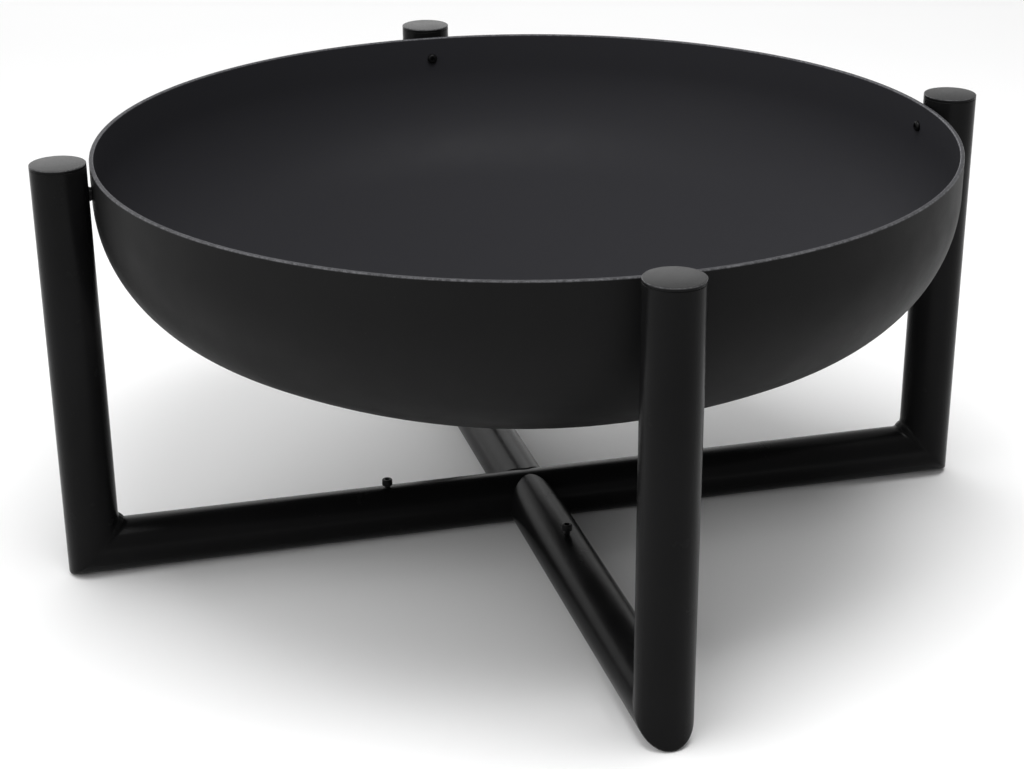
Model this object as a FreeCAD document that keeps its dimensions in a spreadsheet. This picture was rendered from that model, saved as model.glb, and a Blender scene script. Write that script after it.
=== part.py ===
# Steel fire bowl bolted between the four posts of a tubular cross stand.
# Frame: +Z up, origin on the ground under the middle of the cross, millimetres.
# Each leg piece is drawn on the +X side and turned about Z to its place.
import FreeCAD, Part
import math
import os
import Sketcher

SIZES = {
    # stand tube
    "tube_diameter": 50, "tube_wall": 2, "post_top": 400,
    # caps on the posts
    "cap_thickness": 3, "cap_edge": 0.8,
    # dished bowl: outside diameter, plate, straight flange, outside radii of knuckle and crown
    "bowl_diameter": 795, "bowl_wall": 4, "bowl_flange": 35, "knuckle_radius": 127, "crown_radius": 662,
    "rim_edge": 1.2, "rim_below_top": 7.5, "bolt_below_rim": 22.5,
    # hidden cross of spigots, and the gaps that let the legs slide onto it
    "spigot_wall": 2.5, "spigot_clearance": 0.25, "spigot_reach": 180,
    "butt_gap": 0.5, "saddle_gap": 0.8, "notch_gap": 0.5, "weld_gap": 0.1,
    # M6 hardware in common
    "thread_radius": 3, "bore_radius": 3.05, "clear_hole_radius": 3.3, "tip_chamfer": 0.6, "seat_gap": 0.05,
    # button-head bolts inside the bowl
    "button_radius": 5.25, "button_height": 3.3, "button_round": 2.4, "bolt_length": 20,
    "bolt_socket": 4, "bolt_socket_depth": 2,
    # spacer washers and rivet nuts between bowl and posts
    "washer_radius": 6, "washer_thickness": 1.6, "flange_radius": 6.5, "flange_thickness": 1,
    "rivet_radius": 4.5, "rivet_length": 12, "rivet_hole_gap": 0.1, "bulge_radius": 6, "bulge_length": 4,
    # cylinder-head lock screws on the arms, and the hexagon nuts inside the spigots
    "lock_place": 141, "lock_radius": 5, "lock_height": 6, "lock_lift": 3, "lock_round": 0.8,
    "lock_length": 20, "lock_socket": 5, "lock_socket_depth": 3, "hex_flats": 10, "hex_height": 5,
}
DERIVED = {
    "tube_radius": "=tube_diameter / 2",
    "tube_bore": "=tube_radius - tube_wall",
    "bowl_radius": "=bowl_diameter / 2",
    "bowl_bore": "=bowl_radius - bowl_wall",
    # washer and rivet-nut flange fill the space between bowl and post
    "washer_face": "=bowl_radius + washer_thickness",
    "post_face": "=washer_face + flange_thickness",
    "post_place": "=post_face + tube_radius",
    "leg_reach": "=post_place + tube_radius",
    "rim_height": "=post_top - rim_below_top",
    "flange_foot": "=rim_height - bowl_flange",
    "knuckle_place": "=bowl_radius - knuckle_radius",
    "bolt_height": "=rim_height - bolt_below_rim",
    "spigot_radius": "=tube_bore - spigot_clearance",
    "spigot_bore": "=spigot_radius - spigot_wall",
}
LEGS = {"right": 0, "rear": 90, "left": 180, "front": 270}
OVERCUT = 10        # how far a cutting outline runs past the metal

doc = FreeCAD.newDocument("FireBowl")
sheet = doc.addObject("Spreadsheet::Sheet", "Dims")


def fillSheet():
    cells = {**SIZES, **DERIVED}
    for row, (alias, value) in enumerate(cells.items(), start=1):
        sheet.set(f"A{row}", alias)
        sheet.set(f"B{row}", str(value))
        sheet.setAlias(f"B{row}", alias)
    doc.recompute()


def number(expression):
    return float(sheet.evalExpression(expression))


# ---- sketches and features whose sizes follow the sheet

def makeBody(label, angle=0):
    body = doc.addObject("PartDesign::Body", label)
    body.Label = label
    body.Placement.Rotation = FreeCAD.Rotation(FreeCAD.Vector(0, 0, 1), angle)
    return body


def originPart(body, role):
    return next(item for item in body.Origin.OriginFeatures if item.Role == role)


def makeSketch(body, plane, name, **shift):
    """Sketch on an origin plane, moved along its own x, y or normal z by expressions."""
    sketch = body.newObject("Sketcher::SketchObject", name)
    sketch.AttachmentSupport = [(originPart(body, plane), "")]
    sketch.MapMode = "FlatFace"
    for axis, expression in shift.items():
        sketch.setExpression(f"AttachmentOffset.Base.{axis}", expression)
    return sketch


def bind(sketch, kind, where, expression):
    index = sketch.addConstraint(Sketcher.Constraint(kind, *where, number(expression)))
    sketch.setExpression(f"Constraints[{index}]", expression)


def fixPoint(sketch, geometry, point, x, y):
    bind(sketch, "DistanceX", (-1, 1, geometry, point), x)
    bind(sketch, "DistanceY", (-1, 1, geometry, point), y)


def addCircle(sketch, x, y, radius):
    centre = FreeCAD.Vector(number(x), number(y), 0)
    circle = sketch.addGeometry(Part.Circle(centre, FreeCAD.Vector(0, 0, 1), number(radius)))
    fixPoint(sketch, circle, 3, x, y)
    bind(sketch, "Radius", (circle,), radius)


def addPolygon(sketch, points):
    """Closed outline through corners, each a pair of expressions."""
    corners = [FreeCAD.Vector(number(x), number(y), 0) for x, y in points]
    ends = corners[1:] + corners[:1]
    lines = [sketch.addGeometry(Part.LineSegment(start, end)) for start, end in zip(corners, ends)]
    for line, following, (x, y) in zip(lines, lines[1:] + lines[:1], points):
        sketch.addConstraint(Sketcher.Constraint("Coincident", line, 2, following, 1))
        fixPoint(sketch, line, 1, x, y)


def addHexagon(sketch, x, y, flats):
    """Hexagon with two corners on its own x axis."""
    corner = f"{flats} / sqrt(3)"
    half = f"{flats} / 2"
    addPolygon(sketch, [(f"{x} + {corner}", y), (f"{x} + {corner} / 2", f"{y} + {half}"),
                        (f"{x} - {corner} / 2", f"{y} + {half}"), (f"{x} - {corner}", y),
                        (f"{x} - {corner} / 2", f"{y} - {half}"), (f"{x} + {corner} / 2", f"{y} - {half}")])


def addFeature(body, kind, profile, name, **settings):
    feature = body.newObject(f"PartDesign::{kind}", name)
    feature.Profile = profile
    length = settings.pop("length", None)
    if length:
        feature.setExpression("Length", length)
    for key, value in settings.items():
        setattr(feature, key, value)
    doc.recompute()


def cut(body, kind, profile, name, **settings):
    """Pocket or groove, with a test that it takes metal away."""
    before = body.Shape.Volume
    addFeature(body, kind, profile, name, **settings)
    if body.Shape.Volume > before - 1e-3:
        raise RuntimeError(f"{body.Label}: {name} cuts nothing")


def revolve(body, sketch, axis, name):
    addFeature(body, "Revolution", sketch, name, ReferenceAxis=(sketch, [axis]))


def roundEdge(body, name, axis, place, radius, size):
    """Fillet on the full circles of one radius whose centre is at a place along x or z."""
    base = body.Tip
    edges = []
    for index, edge in enumerate(base.Shape.Edges, start=1):
        if edge.Degenerated or not isinstance(edge.Curve, Part.Circle):
            continue
        offRadius = abs(edge.Curve.Radius - number(radius))
        offPlace = abs(getattr(edge.Curve.Center, axis) - number(place))
        if max(offRadius, offPlace) < 1e-4:
            edges.append(f"Edge{index}")
    fillet = body.newObject("PartDesign::Fillet", name)
    fillet.Base = (base, edges)
    fillet.setExpression("Radius", size)
    doc.recompute()


def repeatAtLegs(body):
    """The same fastener at each of the four legs, as separate solids of one node."""
    body.AllowCompound = True
    pattern = body.newObject("PartDesign::PolarPattern", "AtLegs")
    pattern.TransformMode = "Whole shape"
    pattern.Axis = (originPart(body, "Z_Axis"), [""])
    pattern.Angle = 360
    pattern.Occurrences = len(LEGS)
    body.Tip = pattern
    doc.recompute()


# ---- legs: post, cap and arm

def addTube(body, plane, x, y, outer, inner, length, **settings):
    ring = makeSketch(body, plane, "Ring", **settings.pop("shift", {}))
    addCircle(ring, x, y, outer)
    addCircle(ring, x, y, inner)
    addFeature(body, "Pad", ring, "Tube", length=length, **settings)


def cutMitre(body, above):
    """45 degree cut from the outer foot corner to the inside corner of a leg."""
    outside = f"Dims.leg_reach + {OVERCUT}"
    inside = f"Dims.post_face - {OVERCUT}"
    low = f"-{OVERCUT}"
    high = f"Dims.tube_diameter + {OVERCUT}"
    wedge = makeSketch(body, "XZ_Plane", "MitreWedge")
    corner = (outside, high) if above else (inside, low)
    addPolygon(wedge, [(outside, low), corner, (inside, high)])
    cut(body, "Pocket", wedge, "Mitre", Type="ThroughAll", SideType="Symmetric")


def makePost(side, angle):
    body = makeBody(f"post_{side}", angle)
    addTube(body, "XY_Plane", "Dims.post_place", "0", "Dims.tube_radius", "Dims.tube_bore",
            "Dims.post_top - Dims.cap_thickness")
    cutMitre(body, above=False)
    hole = makeSketch(body, "YZ_Plane", "RivetNutHole")
    addCircle(hole, "0", "Dims.bolt_height", "Dims.rivet_radius + Dims.rivet_hole_gap")
    # from the bowl's axis out to the middle of the tube, so that only the inner wall is drilled
    cut(body, "Pocket", hole, "RivetNutBore", length="Dims.post_place", Reversed=True)


def makeCap(side, angle):
    body = makeBody(f"post_cap_{side}", angle)
    disc = makeSketch(body, "XY_Plane", "Disc", z="Dims.post_top - Dims.cap_thickness")
    addCircle(disc, "Dims.post_place", "0", "Dims.tube_radius")
    addFeature(body, "Pad", disc, "Plate", length="Dims.cap_thickness")
    roundEdge(body, "RoundedEdge", "z", "Dims.post_top", "Dims.tube_radius", "Dims.cap_edge")


def drillLock(body, place):
    """Hole for a lock screw, through the upper wall only."""
    hole = makeSketch(body, "XY_Plane", "LockHole", z="Dims.tube_radius")
    addCircle(hole, place, "0", "Dims.clear_hole_radius")
    cut(body, "Pocket", hole, "LockBore", length="Dims.tube_radius", Reversed=True)


def makeArm(side, angle, crossing):
    """Arm from the mitre in to the crossing, where a round cut clears what it meets."""
    body = makeBody(f"arm_{side}", angle)
    addTube(body, "YZ_Plane", "0", "Dims.tube_radius", "Dims.tube_radius", "Dims.tube_bore",
            "Dims.leg_reach - Dims.butt_gap / 2", shift={"z": "Dims.butt_gap / 2"})
    cutMitre(body, above=True)
    outline = makeSketch(body, "XZ_Plane", "Crossing")
    addCircle(outline, "0", "Dims.tube_radius", crossing)
    cut(body, "Pocket", outline, "CrossingCut", Type="ThroughAll", SideType="Symmetric")
    drillLock(body, "Dims.lock_place")


# ---- spigots that the arms slide onto

def makeSpigotBeam():
    body = makeBody("spigot_beam")
    addTube(body, "YZ_Plane", "0", "Dims.tube_radius", "Dims.spigot_radius", "Dims.spigot_bore",
            "2 * Dims.spigot_reach", SideType="Symmetric")
    drillLock(body, "Dims.lock_place")
    drillLock(body, "-Dims.lock_place")


def makeSpigotStub(side, angle):
    body = makeBody(f"spigot_{side}", angle)
    addTube(body, "YZ_Plane", "0", "Dims.tube_radius", "Dims.spigot_radius", "Dims.spigot_bore",
            "Dims.spigot_reach")
    saddle = makeSketch(body, "XZ_Plane", "Saddle")
    addCircle(saddle, "0", "Dims.tube_radius", "Dims.spigot_radius + Dims.weld_gap")
    cut(body, "Pocket", saddle, "SaddleCut", Type="ThroughAll", SideType="Symmetric")
    drillLock(body, "Dims.lock_place")


# ---- bowl

def addDish(sketch, inset, top):
    """Half section of the dish: crown arc, knuckle arc, flange, top line and axis."""
    up = FreeCAD.Vector(0, 0, 1)
    foot = number("Dims.flange_foot")
    wall = number(f"Dims.bowl_radius - {inset}")
    middle = number("Dims.knuckle_place")
    knuckle = number(f"Dims.knuckle_radius - {inset}")
    crown = number(f"Dims.crown_radius - {inset}")
    # the knuckle touches the crown from inside, which places the crown's centre above it
    centre = foot + math.sqrt((crown - knuckle) ** 2 - middle ** 2)
    touch = math.atan2(foot - centre, middle)
    lowest = FreeCAD.Vector(0, centre - crown, 0)
    corners = [FreeCAD.Vector(wall, foot, 0), FreeCAD.Vector(wall, number(top), 0),
               FreeCAD.Vector(0, number(top), 0), lowest]
    crownArc, knuckleArc = sketch.addGeometry([
        Part.ArcOfCircle(Part.Circle(FreeCAD.Vector(0, centre, 0), up, crown), -math.pi / 2, touch),
        Part.ArcOfCircle(Part.Circle(FreeCAD.Vector(middle, foot, 0), up, knuckle), touch, 0)])
    flange, lid, axis = sketch.addGeometry(
        [Part.LineSegment(start, end) for start, end in zip(corners, corners[1:])])
    for rule in [("PointOnObject", crownArc, 3, -2), ("Tangent", crownArc, 2, knuckleArc, 1),
                 ("Tangent", knuckleArc, 2, flange, 1), ("Vertical", flange),
                 ("Coincident", flange, 2, lid, 1), ("Horizontal", lid), ("Coincident", lid, 2, axis, 1),
                 ("PointOnObject", axis, 1, -2), ("PointOnObject", axis, 2, -2),
                 ("Coincident", axis, 2, crownArc, 1)]:
        sketch.addConstraint(Sketcher.Constraint(*rule))
    bind(sketch, "Radius", (crownArc,), f"Dims.crown_radius - {inset}")
    bind(sketch, "Radius", (knuckleArc,), f"Dims.knuckle_radius - {inset}")
    fixPoint(sketch, knuckleArc, 3, "Dims.knuckle_place", "Dims.flange_foot")
    bind(sketch, "DistanceY", (-1, 1, flange, 2), top)


def makeBowl():
    body = makeBody("bowl")
    outside = makeSketch(body, "XZ_Plane", "OutsideSection")
    addDish(outside, "0", "Dims.rim_height")
    revolve(body, outside, "V_Axis", "Blank")
    inside = makeSketch(body, "XZ_Plane", "InsideSection")
    addDish(inside, "Dims.bowl_wall", f"Dims.rim_height + {OVERCUT}")
    cut(body, "Groove", inside, "Hollow", ReferenceAxis=(inside, ["V_Axis"]))
    for name, plane in (("SideBolts", "YZ_Plane"), ("FrontBolts", "XZ_Plane")):
        holes = makeSketch(body, plane, f"{name}Hole")
        addCircle(holes, "0", "Dims.bolt_height", "Dims.clear_hole_radius")
        cut(body, "Pocket", holes, name, Type="ThroughAll", SideType="Symmetric")
    roundEdge(body, "RimOutside", "z", "Dims.rim_height", "Dims.bowl_radius", "Dims.rim_edge")
    roundEdge(body, "RimInside", "z", "Dims.rim_height", "Dims.bowl_bore", "Dims.rim_edge")


# ---- fasteners

def makeBowlBolts():
    """Button-head bolt with its head on the inside of the bowl and its axis level."""
    body = makeBody("bowl_bolts")
    seat = "sqrt(pow(Dims.bowl_bore; 2) - pow(Dims.button_radius; 2)) - Dims.seat_gap"
    crown = f"{seat} - Dims.button_height"
    tip = f"{seat} + Dims.bolt_length"
    section = makeSketch(body, "XZ_Plane", "Section", y="Dims.bolt_height")
    addPolygon(section, [(crown, "0"), (crown, "Dims.button_radius"), (seat, "Dims.button_radius"),
                         (seat, "Dims.thread_radius"), (f"{tip} - Dims.tip_chamfer", "Dims.thread_radius"),
                         (tip, "Dims.thread_radius - Dims.tip_chamfer"), (tip, "0")])
    revolve(body, section, "H_Axis", "Turned")
    roundEdge(body, "Dome", "x", crown, "Dims.button_radius", "Dims.button_round")
    socket = makeSketch(body, "YZ_Plane", "Socket", z=crown)
    addHexagon(socket, "0", "Dims.bolt_height", "Dims.bolt_socket")
    cut(body, "Pocket", socket, "KeySocket", length="Dims.bolt_socket_depth", Reversed=True)
    repeatAtLegs(body)


def makeWashers():
    body = makeBody("bowl_spacer_washers")
    addTube(body, "YZ_Plane", "0", "Dims.bolt_height", "Dims.washer_radius", "Dims.clear_hole_radius",
            "Dims.washer_thickness", shift={"z": "Dims.bowl_radius"})
    repeatAtLegs(body)


def makeRivetNuts():
    """Set rivet nut: flange outside the post wall, bulge behind it, thread running on inside."""
    body = makeBody("post_rivet_nuts")
    bulge = ("Dims.post_place - sqrt(pow(Dims.tube_bore; 2) - pow(Dims.bulge_radius; 2))"
             " + Dims.seat_gap")
    bulgeEnd = f"{bulge} + Dims.bulge_length"
    end = "Dims.post_face + Dims.rivet_length"
    section = makeSketch(body, "XZ_Plane", "Section", y="Dims.bolt_height")
    addPolygon(section, [("Dims.washer_face", "Dims.bore_radius"), ("Dims.washer_face", "Dims.flange_radius"),
                         ("Dims.post_face", "Dims.flange_radius"), ("Dims.post_face", "Dims.rivet_radius"),
                         (bulge, "Dims.rivet_radius"), (bulge, "Dims.bulge_radius"),
                         (bulgeEnd, "Dims.bulge_radius"), (bulgeEnd, "Dims.rivet_radius"),
                         (end, "Dims.rivet_radius"), (end, "Dims.bore_radius")])
    revolve(body, section, "H_Axis", "Turned")
    repeatAtLegs(body)


def makeLockScrews():
    """Cylinder-head screw standing upright in the top of an arm, its head clear of the tube."""
    body = makeBody("arm_lock_screws")
    seat = "Dims.tube_diameter + Dims.lock_lift"
    crown = f"{seat} + Dims.lock_height"
    tip = f"{seat} - Dims.lock_length"
    section = makeSketch(body, "XZ_Plane", "Section", x="Dims.lock_place")
    addPolygon(section, [("0", crown), ("Dims.lock_radius", crown), ("Dims.lock_radius", seat),
                         ("Dims.thread_radius", seat), ("Dims.thread_radius", f"{tip} + Dims.tip_chamfer"),
                         ("Dims.thread_radius - Dims.tip_chamfer", tip), ("0", tip)])
    revolve(body, section, "V_Axis", "Turned")
    roundEdge(body, "HeadEdge", "z", crown, "Dims.lock_radius", "Dims.lock_round")
    socket = makeSketch(body, "XY_Plane", "Socket", z=crown)
    addHexagon(socket, "Dims.lock_place", "0", "Dims.lock_socket")
    cut(body, "Pocket", socket, "KeySocket", length="Dims.lock_socket_depth")
    repeatAtLegs(body)


def makeSpigotNuts():
    """Hexagon nut held against the inside of a spigot, two of its edges on the round bore."""
    body = makeBody("spigot_nuts")
    top = "Dims.tube_radius + sqrt(pow(Dims.spigot_bore; 2) - pow(Dims.hex_flats / 2; 2)) - Dims.seat_gap"
    outline = makeSketch(body, "XY_Plane", "Hexagon", z=f"{top} - Dims.hex_height")
    addHexagon(outline, "Dims.lock_place", "0", "Dims.hex_flats")
    addCircle(outline, "Dims.lock_place", "0", "Dims.bore_radius")
    addFeature(body, "Pad", outline, "Nut", length="Dims.hex_height")
    repeatAtLegs(body)


# ---- build, check and write

def checkDocument(nodes):
    doc.recompute()
    failed = [item.Label for item in doc.Objects if {"Invalid", "Error"} & set(item.State)]
    for node in nodes:
        if node.Shape.isNull() or not node.Shape.isValid() or not node.Shape.Solids:
            failed.append(node.Label)
    if failed:
        raise RuntimeError(f"not built: {failed}")


fillSheet()
makeBowl()
for side, angle in LEGS.items():
    makePost(side, angle)
    makeCap(side, angle)
    if side in ("left", "right"):
        makeArm(side, angle, "Dims.spigot_radius + Dims.notch_gap")
    else:
        makeArm(side, angle, "Dims.tube_radius + Dims.saddle_gap")
        makeSpigotStub(side, angle)
makeSpigotBeam()
makeBowlBolts()
makeWashers()
makeRivetNuts()
makeLockScrews()
makeSpigotNuts()

nodes = [item for item in doc.Objects if item.isDerivedFrom("PartDesign::Body")]
checkDocument(nodes)
os.makedirs("parts", exist_ok=True)
for node in nodes:
    node.Shape.exportStep(f"parts/{node.Label}.step")
    print(f"{node.Label}: {len(node.Shape.Solids)} solid(s), {node.Shape.Volume / 1000:.2f} cm3")
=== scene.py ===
import math

import bmesh
import bpy
from mathutils import Matrix, Vector


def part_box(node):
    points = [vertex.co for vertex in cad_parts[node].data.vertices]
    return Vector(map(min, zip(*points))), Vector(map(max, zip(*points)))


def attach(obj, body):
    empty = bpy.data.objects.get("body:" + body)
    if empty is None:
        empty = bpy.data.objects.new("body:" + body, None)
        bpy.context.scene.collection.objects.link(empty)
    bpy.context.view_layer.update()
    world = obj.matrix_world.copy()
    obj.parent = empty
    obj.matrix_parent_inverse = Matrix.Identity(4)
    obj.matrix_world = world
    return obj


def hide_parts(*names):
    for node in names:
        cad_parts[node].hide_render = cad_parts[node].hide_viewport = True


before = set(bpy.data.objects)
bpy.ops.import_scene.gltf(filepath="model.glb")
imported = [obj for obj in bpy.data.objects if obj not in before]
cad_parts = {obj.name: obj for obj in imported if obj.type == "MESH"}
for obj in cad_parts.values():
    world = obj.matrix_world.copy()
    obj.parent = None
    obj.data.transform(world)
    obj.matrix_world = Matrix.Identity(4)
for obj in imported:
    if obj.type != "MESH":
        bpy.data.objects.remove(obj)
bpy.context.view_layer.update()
bpy.context.scene.view_settings.view_transform = "Standard"
print("frame:", len(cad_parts), "CAD nodes")

mm = 0.001
legTurns = {"right": 0, "rear": 90, "left": 180, "front": 270}  # degrees about Z from the +X leg

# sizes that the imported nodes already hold
bowlLow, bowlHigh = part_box("bowl")
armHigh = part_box("arm_right")[1]
capLow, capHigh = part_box("post_cap_right")
washerLow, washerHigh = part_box("bowl_spacer_washers")
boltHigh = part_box("bowl_bolts")[1]
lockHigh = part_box("arm_lock_screws")[1]
tubeRadius = (capHigh.y - capLow.y) / 2
legReach = armHigh.x
postPlace = legReach - tubeRadius
postFace = postPlace - tubeRadius
boltHeight = (washerLow.z + washerHigh.z) / 2


# small helpers for node trees and meshes

def addNode(tree, kind, inputs=None, **options):
    node = tree.nodes.new(kind)
    for key, value in options.items():
        setattr(node, key, value)
    for key, value in (inputs or {}).items():
        if isinstance(value, bpy.types.NodeSocket):
            tree.links.new(value, node.inputs[key])
        else:
            node.inputs[key].default_value = value
    return node


def mathNode(tree, operation, *values):
    return addNode(tree, "ShaderNodeMath", dict(enumerate(values)), operation=operation).outputs[0]


def startTree(name, inputs):
    # new tree with one geometry input and the named inputs after it
    tree = bpy.data.node_groups.new(name, "GeometryNodeTree")
    tree.interface.new_socket("Geometry", in_out="INPUT", socket_type="NodeSocketGeometry")
    for label, kind in inputs.items():
        tree.interface.new_socket(label, in_out="INPUT", socket_type="NodeSocket" + kind)
    tree.interface.new_socket("Geometry", in_out="OUTPUT", socket_type="NodeSocketGeometry")
    return tree, tree.nodes.new("NodeGroupInput").outputs


def endTree(tree, geometry, finish):
    solid = addNode(tree, "GeometryNodeRealizeInstances", {"Geometry": geometry})
    coated = addNode(tree, "GeometryNodeSetMaterial", {"Geometry": solid.outputs[0], "Material": finish})
    addNode(tree, "NodeGroupOutput", {"Geometry": coated.outputs[0]})


def growMesh(tree, startMesh, values):
    # run a tree on a throw-away object and keep its result as a plain mesh
    seedObject = bpy.data.objects.new("seedObject", startMesh)
    bpy.context.scene.collection.objects.link(seedObject)
    modifier = seedObject.modifiers.new("grow", "NODES")
    modifier.node_group = tree
    sockets = {item.name: item.identifier for item in tree.interface.items_tree
               if item.item_type == "SOCKET" and item.in_out == "INPUT"}
    for label, value in values.items():
        modifier[sockets[label]] = value
    evaluated = seedObject.evaluated_get(bpy.context.evaluated_depsgraph_get())
    mesh = bpy.data.meshes.new_from_object(evaluated)
    seedObject.modifiers.remove(modifier)
    bpy.data.objects.remove(seedObject)
    return mesh


def finishMesh(mesh, sharp=32):
    # merge doubles, turn faces outwards, keep true corners crisp
    work = bmesh.new()
    work.from_mesh(mesh)
    bmesh.ops.remove_doubles(work, verts=work.verts, dist=1e-6)
    bmesh.ops.recalc_face_normals(work, faces=work.faces)
    for face in work.faces:
        face.smooth = True
    for edge in work.edges:
        edge.smooth = len(edge.link_faces) == 2 and edge.calc_face_angle(0) < math.radians(sharp)
    work.to_mesh(mesh)
    work.free()
    return mesh


def joinMeshes(name, meshes):
    work = bmesh.new()
    for mesh in meshes:
        work.from_mesh(mesh)
    joined = bpy.data.meshes.new(name)
    work.to_mesh(joined)
    work.free()
    return joined


def placePiece(name, mesh, finish, slot, *nodes):
    mesh.materials.clear()
    mesh.materials.append(finish)
    mesh.name = name
    piece = bpy.data.objects.new(name, mesh)
    bpy.context.scene.collection.objects.link(piece)
    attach(piece, "root")
    if nodes:
        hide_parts(*nodes)
    return piece


def drill(mesh, cutters):
    # cut round or hexagonal holes, each cutter being (sides, radius, length, matrix)
    body = bpy.data.objects.new("drilled", mesh)
    bpy.context.scene.collection.objects.link(body)
    tools = []
    for sides, radius, length, place in cutters:
        work = bmesh.new()
        bmesh.ops.create_cone(work, cap_ends=True, segments=sides, radius1=radius, radius2=radius,
                              depth=length, matrix=place)
        toolMesh = bpy.data.meshes.new("tool")
        work.to_mesh(toolMesh)
        work.free()
        tool = bpy.data.objects.new("tool", toolMesh)
        bpy.context.scene.collection.objects.link(tool)
        hole = body.modifiers.new("hole", "BOOLEAN")
        hole.operation, hole.solver, hole.object = "DIFFERENCE", "EXACT", tool
        tools.append(tool)
    evaluated = body.evaluated_get(bpy.context.evaluated_depsgraph_get())
    result = bpy.data.meshes.new_from_object(evaluated)
    for item in [body] + tools:
        bpy.data.objects.remove(item)
    return finishMesh(result)


def turned(degrees, axis="Z"):
    return Matrix.Rotation(math.radians(degrees), 4, axis)


def softOutline(corners, steps=5):
    # (radius, height, rounding) corners to a chain of points, each rounded corner as an arc
    points = []
    for index, (x, z, rounding) in enumerate(corners):
        here = Vector((x, z))
        if not rounding:
            points.append(here)
            continue
        before = (Vector(corners[index - 1][:2]) - here).normalized()
        after = (Vector(corners[index + 1][:2]) - here).normalized()
        half = before.angle(after) / 2
        centre = here + (before + after).normalized() * rounding / math.sin(half)
        first = here + before * rounding / math.tan(half) - centre
        last = here + after * rounding / math.tan(half) - centre
        for step in range(steps + 1):
            points.append(centre + first.slerp(last, step / steps).normalized() * rounding)
    return points


def arcPoints(centre, radius, start, end, steps):
    return [Vector((centre[0] + radius * math.cos(math.radians(start + (end - start) * step / steps)),
                    centre[1] + radius * math.sin(math.radians(start + (end - start) * step / steps))))
            for step in range(steps + 1)]


def chainMesh(points, threadDepth=None):
    mesh = bpy.data.meshes.new("chain")
    mesh.from_pydata([(x, 0, z) for x, z in points], [(i, i + 1) for i in range(len(points) - 1)], [])
    if threadDepth:
        depth = mesh.attributes.new("threadDepth", "FLOAT", "POINT")
        depth.data.foreach_set("value", threadDepth)
    return mesh


def ringShell(name, rows):
    # closed skin through rings of points, the last ring joined to the first
    count = len(rows[0])
    faces = []
    for row in range(len(rows)):
        following = (row + 1) % len(rows)
        for index in range(count):
            beside = (index + 1) % count
            faces.append((row * count + index, row * count + beside,
                          following * count + beside, following * count + index))
    mesh = bpy.data.meshes.new(name)
    mesh.from_pydata([point for row in rows for point in row], [], faces)
    return finishMesh(mesh)


# finishes

def startMaterial(name):
    material = bpy.data.materials.new(name)
    material.use_nodes = True
    tree = material.node_tree
    shader = tree.nodes["Principled BSDF"]
    place = addNode(tree, "ShaderNodeTexCoord").outputs["Object"]
    return material, tree, shader, place


def noiseNode(tree, place, scale, detail=3.0, rough=0.5):
    return addNode(tree, "ShaderNodeTexNoise", {"Vector": place, "Scale": scale, "Detail": detail,
                                                "Roughness": rough}).outputs["Fac"]


def rampNode(tree, factor, stops):
    ramp = addNode(tree, "ShaderNodeValToRGB", {"Fac": factor})
    elements = ramp.color_ramp.elements
    while len(elements) < len(stops):
        elements.new(0.5)
    for element, (position, colour) in zip(elements, stops):
        element.position = position
        element.color = (*colour, 1)
    return ramp.outputs["Color"]


def rangeNode(tree, value, low, high, newLow, newHigh):
    return addNode(tree, "ShaderNodeMapRange", {"Value": value, "From Min": low, "From Max": high,
                                                "To Min": newLow, "To Max": newHigh}).outputs["Result"]


def bumpNode(tree, height, distance, strength, before=None):
    inputs = {"Height": height, "Distance": distance, "Strength": strength}
    if before:
        inputs["Normal"] = before
    return addNode(tree, "ShaderNodeBump", inputs).outputs["Normal"]


def mixColour(tree, factor, first, second):
    mix = addNode(tree, "ShaderNodeMix", data_type="RGBA")
    for socket, value in (("Factor_Float", factor), ("A_Color", first), ("B_Color", second)):
        target = next(item for item in mix.inputs if item.identifier == socket)
        if isinstance(value, bpy.types.NodeSocket):
            tree.links.new(value, target)
        else:
            target.default_value = value
    return next(item for item in mix.outputs if item.identifier == "Result_Color")


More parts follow.
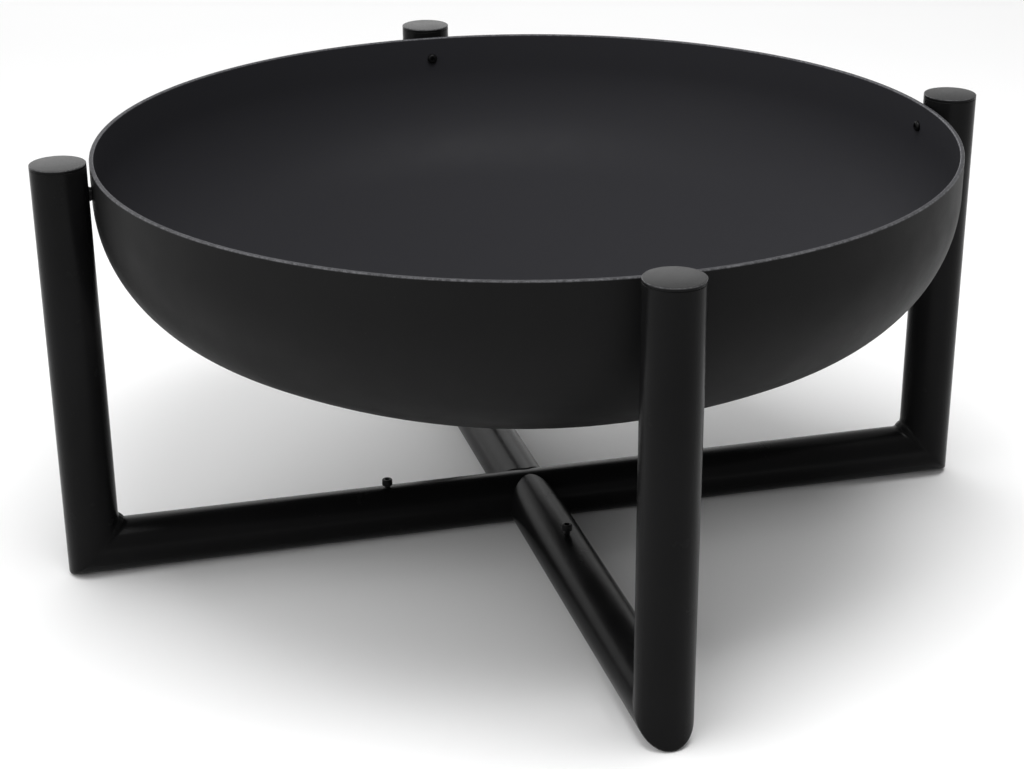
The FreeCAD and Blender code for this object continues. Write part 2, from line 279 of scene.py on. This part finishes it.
def blackCoat(name, look, paintedHighlightTop=None):
    material, tree, shader, place = startMaterial(name)
    cloud = noiseNode(tree, place, look["cloudScale"], 4)
    rub = noiseNode(tree, place, look["rubScale"], 5, 0.62)
    grain = noiseNode(tree, place, look["grainScale"], 2)
    peel = noiseNode(tree, place, look["peelScale"], 2)
    colour = rampNode(tree, cloud, [(0.3, look["dark"]), (0.72, look["light"])])
    facing = addNode(tree, "ShaderNodeNewGeometry").outputs["Normal"]
    if "inside" in look:
        # painted light: the dish is painted a lighter, bluish grey inside, where its skin faces the point above
        # its middle, standing in for the extra light and bluish reflection the inside catches
        towards = addNode(tree, "ShaderNodeVectorMath", {0: place, 1: (0, 0, look["insideCentre"])},
                          operation="SUBTRACT").outputs[0]
        outwards = addNode(tree, "ShaderNodeVectorMath", {0: towards, 1: facing},
                           operation="DOT_PRODUCT").outputs["Value"]
        colour = mixColour(tree, rangeNode(tree, outwards, -0.02, 0.02, 1, 0), colour, (*look["inside"], 1))
    # pale dust caught in the grain, a few specks only
    speck = addNode(tree, "ShaderNodeTexVoronoi", {"Vector": place, "Scale": look["speckScale"],
                                                   "Randomness": 1.0}).outputs["Distance"]
    dust = mathNode(tree, "MULTIPLY", rangeNode(tree, speck, 0.05, 0.12, 1, 0),
                    rangeNode(tree, rub, 0.52, 0.66, 0, look["dust"]))
    colour = mixColour(tree, dust, colour, (*look["dustColour"], 1))
    rough = mathNode(tree, "ADD", rangeNode(tree, rub, 0.3, 0.7, look["roughLow"], look["roughHigh"]),
                     mathNode(tree, "MULTIPLY", dust, 0.3))
    if paintedHighlightTop:
        # painted highlight: a paler line painted along the rounded top edges, standing in for the glint there,
        # broken into streaks
        height = addNode(tree, "ShaderNodeSeparateXYZ", {"Vector": place}).outputs["Z"]
        start = paintedHighlightTop - look["paintedHighlightWidth"]
        edge = rangeNode(tree, height, start, paintedHighlightTop - look["paintedHighlightWidth"] * 0.6, 0, 1)
        lean = addNode(tree, "ShaderNodeSeparateXYZ", {"Vector": facing}).outputs["Z"]
        edge = mathNode(tree, "MULTIPLY", edge, rangeNode(tree, lean, 0.90, 0.985, 1, look["paintedHighlightOnFlat"]))
        streak = rangeNode(tree, noiseNode(tree, place, look["paintedHighlightStreakScale"], 4, 0.7), 0.38, 0.62, 0.35, 1)
        paintedEdgeHighlight = mathNode(tree, "MULTIPLY", mathNode(tree, "MULTIPLY", edge, streak), look["paintedEdgeHighlight"])
        colour = mixColour(tree, paintedEdgeHighlight, colour, (*look["paintedHighlightColour"], 1))
        rough = mathNode(tree, "SUBTRACT", rough, mathNode(tree, "MULTIPLY", paintedEdgeHighlight, 0.12))
    tree.links.new(colour, shader.inputs["Base Color"])
    tree.links.new(rough, shader.inputs["Roughness"])
    normal = bumpNode(tree, peel, look["peelDepth"], 0.5)
    normal = bumpNode(tree, grain, look["grainDepth"], 0.6, normal)
    tree.links.new(normal, shader.inputs["Normal"])
    shader.inputs["Specular IOR Level"].default_value = look["specular"]
    shader.inputs["Metallic"].default_value = look["metallic"]
    return material


def zincPlate(name, look):
    material, tree, shader, place = startMaterial(name)
    spangle = addNode(tree, "ShaderNodeTexVoronoi", {"Vector": place, "Scale": look["spangleScale"]})
    haze = noiseNode(tree, place, look["hazeScale"], 5)
    colour = rampNode(tree, haze, [(0.3, look["dark"]), (0.7, look["light"])])
    colour = mixColour(tree, mathNode(tree, "MULTIPLY", spangle.outputs["Distance"], 0.25), colour,
                       (*look["bright"], 1))
    tree.links.new(colour, shader.inputs["Base Color"])
    tree.links.new(rangeNode(tree, haze, 0.3, 0.7, look["roughLow"], look["roughHigh"]),
                   shader.inputs["Roughness"])
    tree.links.new(bumpNode(tree, haze, look["hazeDepth"], 0.4), shader.inputs["Normal"])
    shader.inputs["Metallic"].default_value = 1.0
    return material


bowlCoatLook = {"dark": (0.0070, 0.0070, 0.0071), "light": (0.0090, 0.0090, 0.0091),
                # the inside tone is painted light, a lighter bluish grey standing in for the light the inner
                # skin catches
                "inside": (0.0210, 0.0210, 0.0238), "insideCentre": 0.45, "cloudScale": 5.0,
                "rubScale": 26.0, "grainScale": 1500.0, "grainDepth": 0.00012, "peelScale": 420.0,
                "peelDepth": 0.00010, "roughLow": 0.46, "roughHigh": 0.54, "specular": 0.06, "metallic": 0.0,
                "speckScale": 260.0, "dust": 0.25, "dustColour": (0.10, 0.10, 0.105),
                # painted highlight: these edge values paint a pale streaky line along the rim's rounded edge,
                # standing in for its glint
                "paintedHighlightWidth": 1.6 * mm, "paintedHighlightStreakScale": 320.0, "paintedEdgeHighlight": 0.32,
                "paintedHighlightOnFlat": 0.26, "paintedHighlightColour": (0.34, 0.34, 0.36)}
standCoatLook = {"dark": (0.0042, 0.0042, 0.0043), "light": (0.0060, 0.0060, 0.0062), "cloudScale": 9.0,
                 "rubScale": 34.0, "grainScale": 1900.0, "grainDepth": 0.00008, "peelScale": 520.0,
                 "peelDepth": 0.00009, "roughLow": 0.21, "roughHigh": 0.28, "specular": 0.06, "metallic": 0.0,
                 "speckScale": 300.0, "dust": 0.2, "dustColour": (0.09, 0.09, 0.09),
                 # painted highlight: these edge values paint a pale ring along the caps' rounded top edges,
                 # standing in for their glint
                 "paintedHighlightWidth": 1.2 * mm, "paintedHighlightStreakScale": 380.0, "paintedEdgeHighlight": 0.5, "paintedHighlightOnFlat": 0.0,
                 "paintedHighlightColour": (0.16, 0.16, 0.165)}
spigotCoatLook = {**standCoatLook, "dark": (0.012, 0.012, 0.012), "light": (0.03, 0.03, 0.031),
                  "roughLow": 0.4, "roughHigh": 0.6}
screwLook = {**standCoatLook, "dark": (0.0025, 0.0025, 0.0026), "light": (0.0050, 0.0050, 0.0052),
             "cloudScale": 160.0, "rubScale": 300.0, "grainScale": 4000.0, "grainDepth": 0.00003,
             "peelDepth": 0.00002, "roughLow": 0.28, "roughHigh": 0.4, "specular": 0.10, "metallic": 0.0}
zincLook = {"dark": (0.42, 0.42, 0.40), "light": (0.60, 0.60, 0.57), "bright": (0.75, 0.75, 0.73),
            "spangleScale": 900.0, "hazeScale": 220.0, "hazeDepth": 0.00004, "roughLow": 0.28,
            "roughHigh": 0.45}

bowlCoat = blackCoat("satinBowlCoat", bowlCoatLook, bowlHigh.z)
standCoat = blackCoat("satinStandCoat", standCoatLook, capHigh.z)
spigotCoat = blackCoat("dippedSpigotCoat", spigotCoatLook)
screwBlack = blackCoat("oiledScrewBlack", screwLook)
nutZinc = zincPlate("platedNutZinc", zincLook)
print("finishes made")


# node trees that turn, repeat and bead

def makeTurningTree():
    # spins a chain of points about the upright axis; a thread winds round where threadDepth is set
    tree, given = startTree("turnedPart", {"Sides": "Int", "Pitch": "Float", "Finish": "Material"})
    rowCount = addNode(tree, "GeometryNodeAttributeDomainSize", {"Geometry": given["Geometry"]},
                       component="MESH").outputs["Point Count"]
    across = mathNode(tree, "ADD", given["Sides"], 1)
    grid = addNode(tree, "GeometryNodeMeshGrid", {"Vertices X": rowCount, "Vertices Y": across})
    index = addNode(tree, "GeometryNodeInputIndex").outputs[0]
    row = mathNode(tree, "FLOOR", mathNode(tree, "DIVIDE", index, across))
    share = mathNode(tree, "DIVIDE", mathNode(tree, "MODULO", index, across), given["Sides"])
    place = addNode(tree, "GeometryNodeInputPosition").outputs[0]
    section = addNode(tree, "GeometryNodeSampleIndex", data_type="FLOAT_VECTOR")
    depthName = addNode(tree, "GeometryNodeInputNamedAttribute", {"Name": "threadDepth"}, data_type="FLOAT")
    depth = addNode(tree, "GeometryNodeSampleIndex", data_type="FLOAT")
    for node, value in ((section, place), (depth, depthName.outputs[0])):
        tree.links.new(given["Geometry"], node.inputs["Geometry"])
        tree.links.new(value, node.inputs["Value"])
        tree.links.new(row, node.inputs["Index"])
    parts = addNode(tree, "ShaderNodeSeparateXYZ", {"Vector": section.outputs[0]}).outputs
    wind = mathNode(tree, "SUBTRACT", mathNode(tree, "DIVIDE", parts["Z"], given["Pitch"]), share)
    groove = mathNode(tree, "MULTIPLY", mathNode(tree, "PINGPONG", wind, 0.5), 2)
    radius = mathNode(tree, "SUBTRACT", parts["X"], mathNode(tree, "MULTIPLY", groove, depth.outputs[0]))
    spot = addNode(tree, "ShaderNodeCombineXYZ", {"X": radius, "Z": parts["Z"]})
    spun = addNode(tree, "ShaderNodeVectorRotate", {"Vector": spot.outputs[0],
                   "Angle": mathNode(tree, "MULTIPLY", share, math.tau)}, rotation_type="Z_AXIS")
    shaped = addNode(tree, "GeometryNodeSetPosition", {"Geometry": grid.outputs["Mesh"],
                                                       "Position": spun.outputs[0]})
    closed = addNode(tree, "GeometryNodeMergeByDistance", {"Geometry": shaped.outputs[0], "Distance": 2e-6})
    smooth = addNode(tree, "GeometryNodeSetShadeSmooth", {"Geometry": closed.outputs[0]})
    endTree(tree, smooth.outputs[0], given["Finish"])
    return tree


def makeLegTree():
    # the same part at every leg, turned about the upright axis
    tree, given = startTree("atEveryLeg", {"Legs": "Int", "Finish": "Material"})
    spots = addNode(tree, "GeometryNodePoints", {"Count": given["Legs"], "Position": (0, 0, 0)})
    index = addNode(tree, "GeometryNodeInputIndex").outputs[0]
    angle = mathNode(tree, "DIVIDE", mathNode(tree, "MULTIPLY", index, math.tau), given["Legs"])
    turn = addNode(tree, "ShaderNodeCombineXYZ", {"Z": angle})
    copies = addNode(tree, "GeometryNodeInstanceOnPoints", {"Points": spots.outputs[0],
                     "Instance": given["Geometry"], "Rotation": turn.outputs[0]})
    endTree(tree, copies.outputs[0], given["Finish"])
    return tree


def makeBeadTree():
    # overlapping flat drops along a welded seam, smaller towards its two ends
    tree, given = startTree("weldBead", {"Step": "Float", "Drop": "Vector", "Seed": "Int",
                                         "Finish": "Material"})
    line = addNode(tree, "GeometryNodeMeshToCurve", {"Mesh": given["Geometry"]})
    even = addNode(tree, "GeometryNodeResampleCurve", {"Curve": line.outputs[0], "Length": given["Step"]},
                   mode="LENGTH")
    outward = addNode(tree, "GeometryNodeInputNamedAttribute", {"Name": "outward"},
                      data_type="FLOAT_VECTOR").outputs[0]
    along = addNode(tree, "GeometryNodeInputTangent").outputs[0]
    factor = addNode(tree, "GeometryNodeSplineParameter").outputs["Factor"]
    taper = mathNode(tree, "POWER", mathNode(tree, "SINE", mathNode(tree, "MULTIPLY", factor, math.pi)), 0.6)
    facing = addNode(tree, "FunctionNodeAlignRotationToVector", {"Vector": outward}, axis="Z")
    facing = addNode(tree, "FunctionNodeAlignRotationToVector",
                     {"Rotation": facing.outputs[0], "Vector": along}, axis="X", pivot_axis="Z")
    jitter = addNode(tree, "FunctionNodeRandomValue", {"Seed": given["Seed"]}, data_type="FLOAT_VECTOR")
    jitter.inputs[0].default_value = (0.85, 0.82, 0.75)
    jitter.inputs[1].default_value = (1.15, 1.15, 1.2)
    size = addNode(tree, "ShaderNodeVectorMath", {0: given["Drop"], 1: jitter.outputs[0]},
                   operation="MULTIPLY").outputs[0]
    size = addNode(tree, "ShaderNodeVectorMath", {0: size, "Scale": taper}, operation="SCALE").outputs[0]
    drop = addNode(tree, "GeometryNodeMeshIcoSphere", {"Radius": 1.0, "Subdivisions": 2})
    drops = addNode(tree, "GeometryNodeInstanceOnPoints", {"Points": even.outputs[0],
                    "Instance": drop.outputs["Mesh"], "Rotation": facing.outputs[0], "Scale": size})
    smooth = addNode(tree, "GeometryNodeSetShadeSmooth", {"Geometry": drops.outputs[0]})
    endTree(tree, smooth.outputs[0], given["Finish"])
    return tree


turningTree = makeTurningTree()
legTree = makeLegTree()
beadTree = makeBeadTree()


def turnPart(points, sides, finish, threadDepth=None, pitch=1 * mm):
    mesh = growMesh(turningTree, chainMesh(points, threadDepth), {"Sides": sides, "Pitch": pitch,
                                                                 "Finish": finish})
    return finishMesh(mesh)


def repeatAtLegs(mesh, finish):
    return growMesh(legTree, mesh, {"Legs": len(legTurns), "Finish": finish})


bowl = {"wall": 4 * mm, "flange": 35 * mm, "knuckle": 127 * mm, "rimEdge": 1.2 * mm, "sides": 288,
        "crownSteps": 30, "knuckleSteps": 26, "flangeSteps": 6, "rimSteps": 7,
        "boltHole": 3.3 * mm, "holeSides": 32}


def bowlSection():
    radius = bowlHigh.x
    foot = bowlHigh.z - bowl["flange"]
    middle = radius - bowl["knuckle"]
    deep = foot - bowlLow.z
    # crown radius from the bowl's depth, with the knuckle touching it from inside
    crown = (deep ** 2 + middle ** 2 - bowl["knuckle"] ** 2) / (2 * (deep - bowl["knuckle"]))
    centre = bowlLow.z + crown
    touch = math.degrees(math.atan2(foot - centre, middle))

    def skin(inset):
        dish = arcPoints((0, centre), crown - inset, -90, touch, bowl["crownSteps"])
        dish += arcPoints((middle, foot), bowl["knuckle"] - inset, touch, 0, bowl["knuckleSteps"])[1:]
        rise = bowl["flange"] - bowl["rimEdge"] * 1.5
        return dish + [Vector((radius - inset, foot + rise * step / bowl["flangeSteps"]))
                       for step in range(1, bowl["flangeSteps"] + 1)]

    outer, inner = skin(0), skin(bowl["wall"])
    outer[0].x = inner[0].x = 0
    rim = softOutline([(*outer[-1], 0), (radius, bowlHigh.z, bowl["rimEdge"]),
                       (radius - bowl["wall"], bowlHigh.z, bowl["rimEdge"]), (*inner[-1], 0)],
                      bowl["rimSteps"])
    return outer + rim[1:-1] + inner[::-1]


bowlMesh = turnPart(bowlSection(), bowl["sides"], bowlCoat)
bowlMesh = drill(bowlMesh, [(bowl["holeSides"], bowl["boltHole"], 3 * bowlHigh.x,
                             Matrix.Translation((0, 0, boltHeight)) @ turned(90, axis))
                            for axis in ("X", "Y")])
placePiece("bowlShell", bowlMesh, bowlCoat, "bowl_coat", "bowl")
print("bowl:", len(bowlMesh.vertices), "points")


# legs: post, welded corner and arm are drawn on the +X side, then turned
leg = {"wall": 2 * mm, "sides": 112, "buttGap": 0.1 * mm, "notch": 23.25 * mm, "saddleGap": 0.8 * mm,
       "footRound": 3.2 * mm, "sideRound": 1.6 * mm, "weldRound": 9.5 * mm, "arcSteps": 10,
       "topRound": 0.5 * mm, "endRound": 0.9 * mm, "beamEndRound": 0.05 * mm, "roundSteps": 3,
       "lockHole": 3.3 * mm, "rivetHole": 4.6 * mm, "holeSides": 32,
       # rings along the tubes, close together beside holes and rounded ends so the shading stays even
       "postRings": (80 * mm, 200 * mm, 330 * mm, 350 * mm), "outerRings": (370 * mm, 280 * mm, 190 * mm),
       "innerRings": (95 * mm, 60 * mm, 34 * mm), "holeGap": 8 * mm, "endGap": 0.5 * mm}


def cornerRound(angle):
    # rounding of the mitre: ground corner outside, weld fillet inside, hardly any at the sides
    inward = -math.cos(angle)
    if inward > 0:
        return leg["sideRound"] + (leg["weldRound"] - leg["sideRound"]) * inward ** 1.6
    return leg["sideRound"] + (leg["footRound"] - leg["sideRound"]) * inward ** 2


def ringAngles():
    return [math.tau * index / leg["sides"] for index in range(leg["sides"])]


def mitrePoint(angle, radius):
    return Vector((postPlace + radius * math.cos(angle), radius * math.sin(angle),
                   tubeRadius - radius * math.cos(angle)))


def postRing(radius, height):
    return [Vector((postPlace + radius * math.cos(angle), radius * math.sin(angle), height))
            for angle in ringAngles()]


def postFoot(radius):
    return [mitrePoint(angle, radius) + Vector((0, 0, cornerRound(angle))) for angle in ringAngles()]


def armRing(radius, reach):
    return [Vector((reach, radius * math.sin(angle), tubeRadius - radius * math.cos(angle)))
            for angle in ringAngles()]


def armFoot(radius):
    return [mitrePoint(angle, radius) - Vector((cornerRound(angle), 0, 0)) for angle in ringAngles()]


def armEnd(radius, cutRadius, back=0):
    # end ring that follows the round cut about the level axis across the arm
    ring = []
    for angle in ringAngles():
        offset = radius * math.cos(angle)
        reach = math.sqrt(max(cutRadius ** 2 - offset ** 2, (leg["buttGap"] / 2) ** 2)) + back
        ring.append(Vector((reach, radius * math.sin(angle), tubeRadius - radius * math.cos(angle))))
    return ring


def makePost():
    outside, inside = tubeRadius, tubeRadius - leg["wall"]
    soft = leg["topRound"]
    gap = leg["holeGap"]
    heights = [*leg["postRings"], boltHeight - gap, boltHeight, boltHeight + gap, capLow.z - gap,
               capLow.z - soft - leg["endGap"], capLow.z - soft]
    rows = [postFoot(outside)] + [postRing(outside, height) for height in heights]
    for step in range(1, leg["roundSteps"] + 1):
        tilt = math.radians(90 / leg["roundSteps"] * step)
        rows.append(postRing(outside - soft * (1 - math.cos(tilt)),
                             capLow.z - soft + soft * math.sin(tilt)))
    rows += [postRing(inside, capLow.z)] + [postRing(inside, height) for height in heights[::-1]]
    rows.append(postFoot(inside))
    return drill(ringShell("post", rows), [(leg["holeSides"], leg["rivetHole"], 2 * tubeRadius,
                 Matrix.Translation((postFace, 0, boltHeight)) @ turned(90, "Y"))])


def makeArm(cutRadius, soft):
    outside, inside = tubeRadius, tubeRadius - leg["wall"]
    place = lockHigh.x - lockScrew["headRadius"]
    gap = leg["holeGap"]
    reaches = [*leg["outerRings"], place + gap, place, place - gap, *leg["innerRings"]]
    rows = [armFoot(outside)] + [armRing(outside, reach) for reach in reaches]
    rows.append(armEnd(outside, cutRadius, soft + leg["endGap"]))
    for step in range(leg["roundSteps"] + 1):
        tilt = math.radians(90 / leg["roundSteps"] * step)
        rows.append(armEnd(outside - soft * (1 - math.cos(tilt)), cutRadius, soft * (1 - math.sin(tilt))))
    rows.append(armEnd(inside, cutRadius))
    rows += [armRing(inside, reach) for reach in reaches[::-1]] + [armFoot(inside)]
    return drill(ringShell("arm", rows), [(leg["holeSides"], leg["lockHole"], 2 * tubeRadius,
                 Matrix.Translation((place, 0, 2 * tubeRadius)))])


def makeCorner():
    def arcRing(radius, tilt):
        ring = []
        for angle in ringAngles():
            size = cornerRound(angle)
            centre = mitrePoint(angle, radius) + Vector((-size, 0, size))
            ring.append(centre + size * Vector((math.cos(tilt), 0, -math.sin(tilt))))
        return ring

    tilts = [math.pi / 2 * step / leg["arcSteps"] for step in range(leg["arcSteps"] + 1)]
    rows = [arcRing(tubeRadius, tilt) for tilt in tilts]
    rows += [arcRing(tubeRadius - leg["wall"], tilt) for tilt in tilts[::-1]]
    return ringShell("corner", rows)


weld = {"from": 112, "steps": 48, "step": 2.3 * mm, "drop": (2.1 * mm, 3.6 * mm, 1.1 * mm), "sharp": 80,
        "seeds": {"right": 5, "rear": 4, "left": 4, "front": 5}}


def makeBead(seed):
    # seam line along the middle of the fillet, over the inner half of the mitre
    points, outwards = [], []
    for step in range(weld["steps"] + 1):
        angle = math.radians(weld["from"] + (360 - 2 * weld["from"]) * step / weld["steps"])
        shift = cornerRound(angle) * (1 - math.sqrt(0.5))
        points.append(mitrePoint(angle, tubeRadius) + Vector((-shift, 0, shift)))
        outwards.append(Vector((math.cos(angle), 2 * math.sin(angle), -math.cos(angle))).normalized())
    mesh = bpy.data.meshes.new("seam")
    mesh.from_pydata(points, [(i, i + 1) for i in range(weld["steps"])], [])
    outward = mesh.attributes.new("outward", "FLOAT_VECTOR", "POINT")
    outward.data.foreach_set("vector", [part for vector in outwards for part in vector])
    return finishMesh(growMesh(beadTree, mesh, {"Step": weld["step"], "Drop": weld["drop"], "Seed": seed,
                                                "Finish": standCoat}), weld["sharp"])


bowlBolt = {"headRadius": 5.25 * mm, "headHeight": 3.3 * mm, "dome": 2.6 * mm, "length": 20 * mm,
            "thread": 3 * mm, "threadDepth": 0.5 * mm, "tip": 0.6 * mm, "socket": 4 * mm,
            "socketDepth": 2 * mm}
lockScrew = {"headRadius": 5 * mm, "headHeight": 6 * mm, "dome": 1.1 * mm, "length": 20 * mm,
             "thread": 3 * mm, "threadDepth": 0.5 * mm, "tip": 0.6 * mm, "socket": 5 * mm,
             "socketDepth": 3 * mm}
screwTurning = {"sides": 40, "footEdge": 0.3 * mm, "rowsPerMm": 6, "steps": 7}
spacer = {"radius": 6 * mm, "hole": 3.3 * mm, "edge": 0.25 * mm, "sides": 48}
cap = {"topEdge": 0.8 * mm, "footEdge": 0.5 * mm, "sides": 128, "steps": 6}


def turnScrew(look):
    # head above zero, threaded shank below it, key socket pressed into the head
    shank = [(0, -look["length"], 0), (look["thread"] - look["tip"], -look["length"], 0)]
    rows = int(screwTurning["rowsPerMm"] * (look["length"] - 2 * look["tip"]) / mm)
    top = -look["tip"]
    foot = -look["length"] + look["tip"]
    shank += [(look["thread"], foot + (top - foot) * row / rows, 0) for row in range(rows + 1)]
    footEdge = screwTurning["footEdge"]
    head = [(look["thread"], 0, 0), (look["headRadius"] - footEdge, 0, 0), (look["headRadius"], footEdge, 0),
            (look["headRadius"], look["headHeight"], look["dome"]), (0, look["headHeight"], 0)]
    points = softOutline(shank + head, screwTurning["steps"])
    depth = [look["threadDepth"] if abs(x - look["thread"]) < 1e-9 and foot - 1e-9 < z < top + 1e-9 else 0
             for x, z in points]
    mesh = turnPart(points, screwTurning["sides"], screwBlack, depth)
    key = (6, look["socket"] / math.sqrt(3), 2 * look["socketDepth"],
           Matrix.Translation((0, 0, look["headHeight"])) @ turned(30))
    return drill(mesh, [key])


boltMesh = turnScrew(bowlBolt)
boltMesh.transform(Matrix.Translation((boltHigh.x - bowlBolt["length"], 0, boltHeight)) @ turned(-90, "Y"))
placePiece("bowlBolts", repeatAtLegs(boltMesh, screwBlack), screwBlack, "black_screws", "bowl_bolts")

lockMesh = turnScrew(lockScrew)
lockPlace = lockHigh.x - lockScrew["headRadius"]
lockMesh.transform(Matrix.Translation((lockPlace, 0, lockHigh.z - lockScrew["headHeight"])))
placePiece("armLockScrews", repeatAtLegs(lockMesh, screwBlack), screwBlack, "black_screws",
           "arm_lock_screws")

washerThick = washerHigh.x - bowlHigh.x
edge = spacer["edge"]
washerMesh = turnPart(softOutline([(spacer["hole"], washerThick / 2, 0), (spacer["hole"], 0, 0),
                                   (spacer["radius"], 0, edge), (spacer["radius"], washerThick, edge),
                                   (spacer["hole"], washerThick, 0), (spacer["hole"], washerThick / 2, 0)]),
                      spacer["sides"], screwBlack)
washerMesh.transform(Matrix.Translation((bowlHigh.x, 0, boltHeight)) @ turned(90, "Y"))
placePiece("bowlSpacers", repeatAtLegs(washerMesh, screwBlack), screwBlack, "black_screws",
           "bowl_spacer_washers")
print("fasteners made")

for side, degrees in legTurns.items():
    place = turned(degrees)
    if side in ("left", "right"):
        armMesh = makeArm(leg["notch"], leg["beamEndRound"])
    else:
        armMesh = makeArm(tubeRadius + leg["saddleGap"], leg["endRound"])
    cornerMesh = joinMeshes("corner", [makeCorner(), makeBead(weld["seeds"][side])])
    capMesh = turnPart(softOutline([(0, 0, 0), (tubeRadius, 0, cap["footEdge"]),
                                    (tubeRadius, capHigh.z - capLow.z, cap["topEdge"]),
                                    (0, capHigh.z - capLow.z, 0)], cap["steps"]), cap["sides"], standCoat)
    capMesh.transform(Matrix.Translation((postPlace, 0, capLow.z)))
    for name, mesh, nodes in (("postTube", makePost(), [f"post_{side}"]),
                              ("armTube", armMesh, [f"arm_{side}"]), ("cornerWeld", cornerMesh, []),
                              ("postCap", capMesh, [f"post_cap_{side}"])):
        mesh.transform(place)
        placePiece(f"{name}_{side}", mesh, standCoat, "stand_coat", *nodes)
print("legs made")

# CAD pieces that stay as they are, inside the tubes or nearly so
for name, finish in (("spigot_beam", spigotCoat), ("spigot_front", spigotCoat), ("spigot_rear", spigotCoat),
                     ("spigot_nuts", nutZinc), ("post_rivet_nuts", screwBlack)):
    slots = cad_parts[name].material_slots
    if not slots:
        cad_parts[name].data.materials.append(finish)
    for slot in slots:
        slot.material = finish


# floor, light and camera
studio = {"floorSize": 90.0, "floorColour": (0.97, 0.97, 0.97),
          "skyTurn": 60.0, "skyFront": 0.26, "skyBack": 1.22, "dimFrom": -0.75, "dimTo": 0.55,
          "azimuth": -14.6035, "elevation": 23.87, "roll": -0.39, "lens": 74.57, "shiftY": 0.0444,
          "stand": (-0.49356, -1.83555, 0.93554)}
# each softbox: where it stands, what it aims at, width and height in metres, watts
softboxes = {"overheadBox": ((0.1, -0.4, 1.9), (0.0, 0.1, 0.2), (1.3, 0.8), 26),
             "rearBox": ((-0.3, 4.5, 2.0), (0, 0, 0.3), (5.0, 1.8), 23),
             "leftBox": ((-2.6, -1.0, 0.9), (-0.2, -0.2, 0.15), (1.4, 1.4), 9)}


def makeFloor():
    mesh = bpy.data.meshes.new("studioFloor")
    half = studio["floorSize"] / 2
    mesh.from_pydata([(-half, -half, 0), (half, -half, 0), (half, half, 0), (-half, half, 0)], [],
                     [(0, 1, 2, 3)])
    material, tree, shader, place = startMaterial("paleFloor")
    tone = studio["floorColour"]
    stops = [(0.3, [part * 0.985 for part in tone]), (0.7, tone)]
    tree.links.new(rampNode(tree, noiseNode(tree, place, 1.5), stops), shader.inputs["Base Color"])
    shader.inputs["Roughness"].default_value = 0.9
    shader.inputs["Specular IOR Level"].default_value = 0.1
    mesh.materials.append(material)
    floor = bpy.data.objects.new("studioFloor", mesh)
    bpy.context.scene.collection.objects.link(floor)


def addSoftbox(name, place, aim, size, power):
    light = bpy.data.lights.new(name, "AREA")
    light.shape = "RECTANGLE"
    light.size, light.size_y = size
    light.energy = power
    lamp = bpy.data.objects.new(name, light)
    bpy.context.scene.collection.objects.link(lamp)
    lamp.location = place
    lamp.rotation_euler = (Vector(place) - Vector(aim)).to_track_quat("Z", "Y").to_euler()


def addSky():
    # soft dome, brightest on the left and a little behind, dimmest on the right and in front
    world = bpy.data.worlds.new("studioSky")
    bpy.context.scene.world = world
    world.use_nodes = True
    tree = world.node_tree
    background = tree.nodes["Background"]
    background.inputs["Color"].default_value = (1, 1, 1, 1)
    way = addNode(tree, "ShaderNodeTexCoord").outputs["Generated"]
    around = math.radians(studio["skyTurn"])
    depth = addNode(tree, "ShaderNodeVectorMath", {0: way, 1: (-math.sin(around), math.cos(around), 0)},
                    operation="DOT_PRODUCT").outputs["Value"]
    strength = rangeNode(tree, depth, studio["dimFrom"], studio["dimTo"], studio["skyFront"], studio["skyBack"])
    tree.links.new(strength, background.inputs["Strength"])


def addCamera():
    around, above = math.radians(studio["azimuth"]), math.radians(studio["elevation"])
    back = Vector((math.sin(around) * math.cos(above), -math.cos(around) * math.cos(above), math.sin(above)))
    right = Vector((math.cos(around), math.sin(around), 0))
    up = back.cross(right)
    frameTurn = Matrix((right, up, back)).transposed() @ Matrix.Rotation(math.radians(studio["roll"]), 3, "Z")
    lens = bpy.data.cameras.new("studioCamera")
    lens.sensor_width = 36
    lens.lens = studio["lens"]
    lens.shift_y = studio["shiftY"]
    lens.clip_end = 200
    camera = bpy.data.objects.new("studioCamera", lens)
    bpy.context.scene.collection.objects.link(camera)
    camera.matrix_world = Matrix.Translation(studio["stand"]) @ frameTurn.to_4x4()
    bpy.context.scene.camera = camera


makeFloor()
addSky()
for name, settings in softboxes.items():
    addSoftbox(name, *settings)
addCamera()
print("studio made")
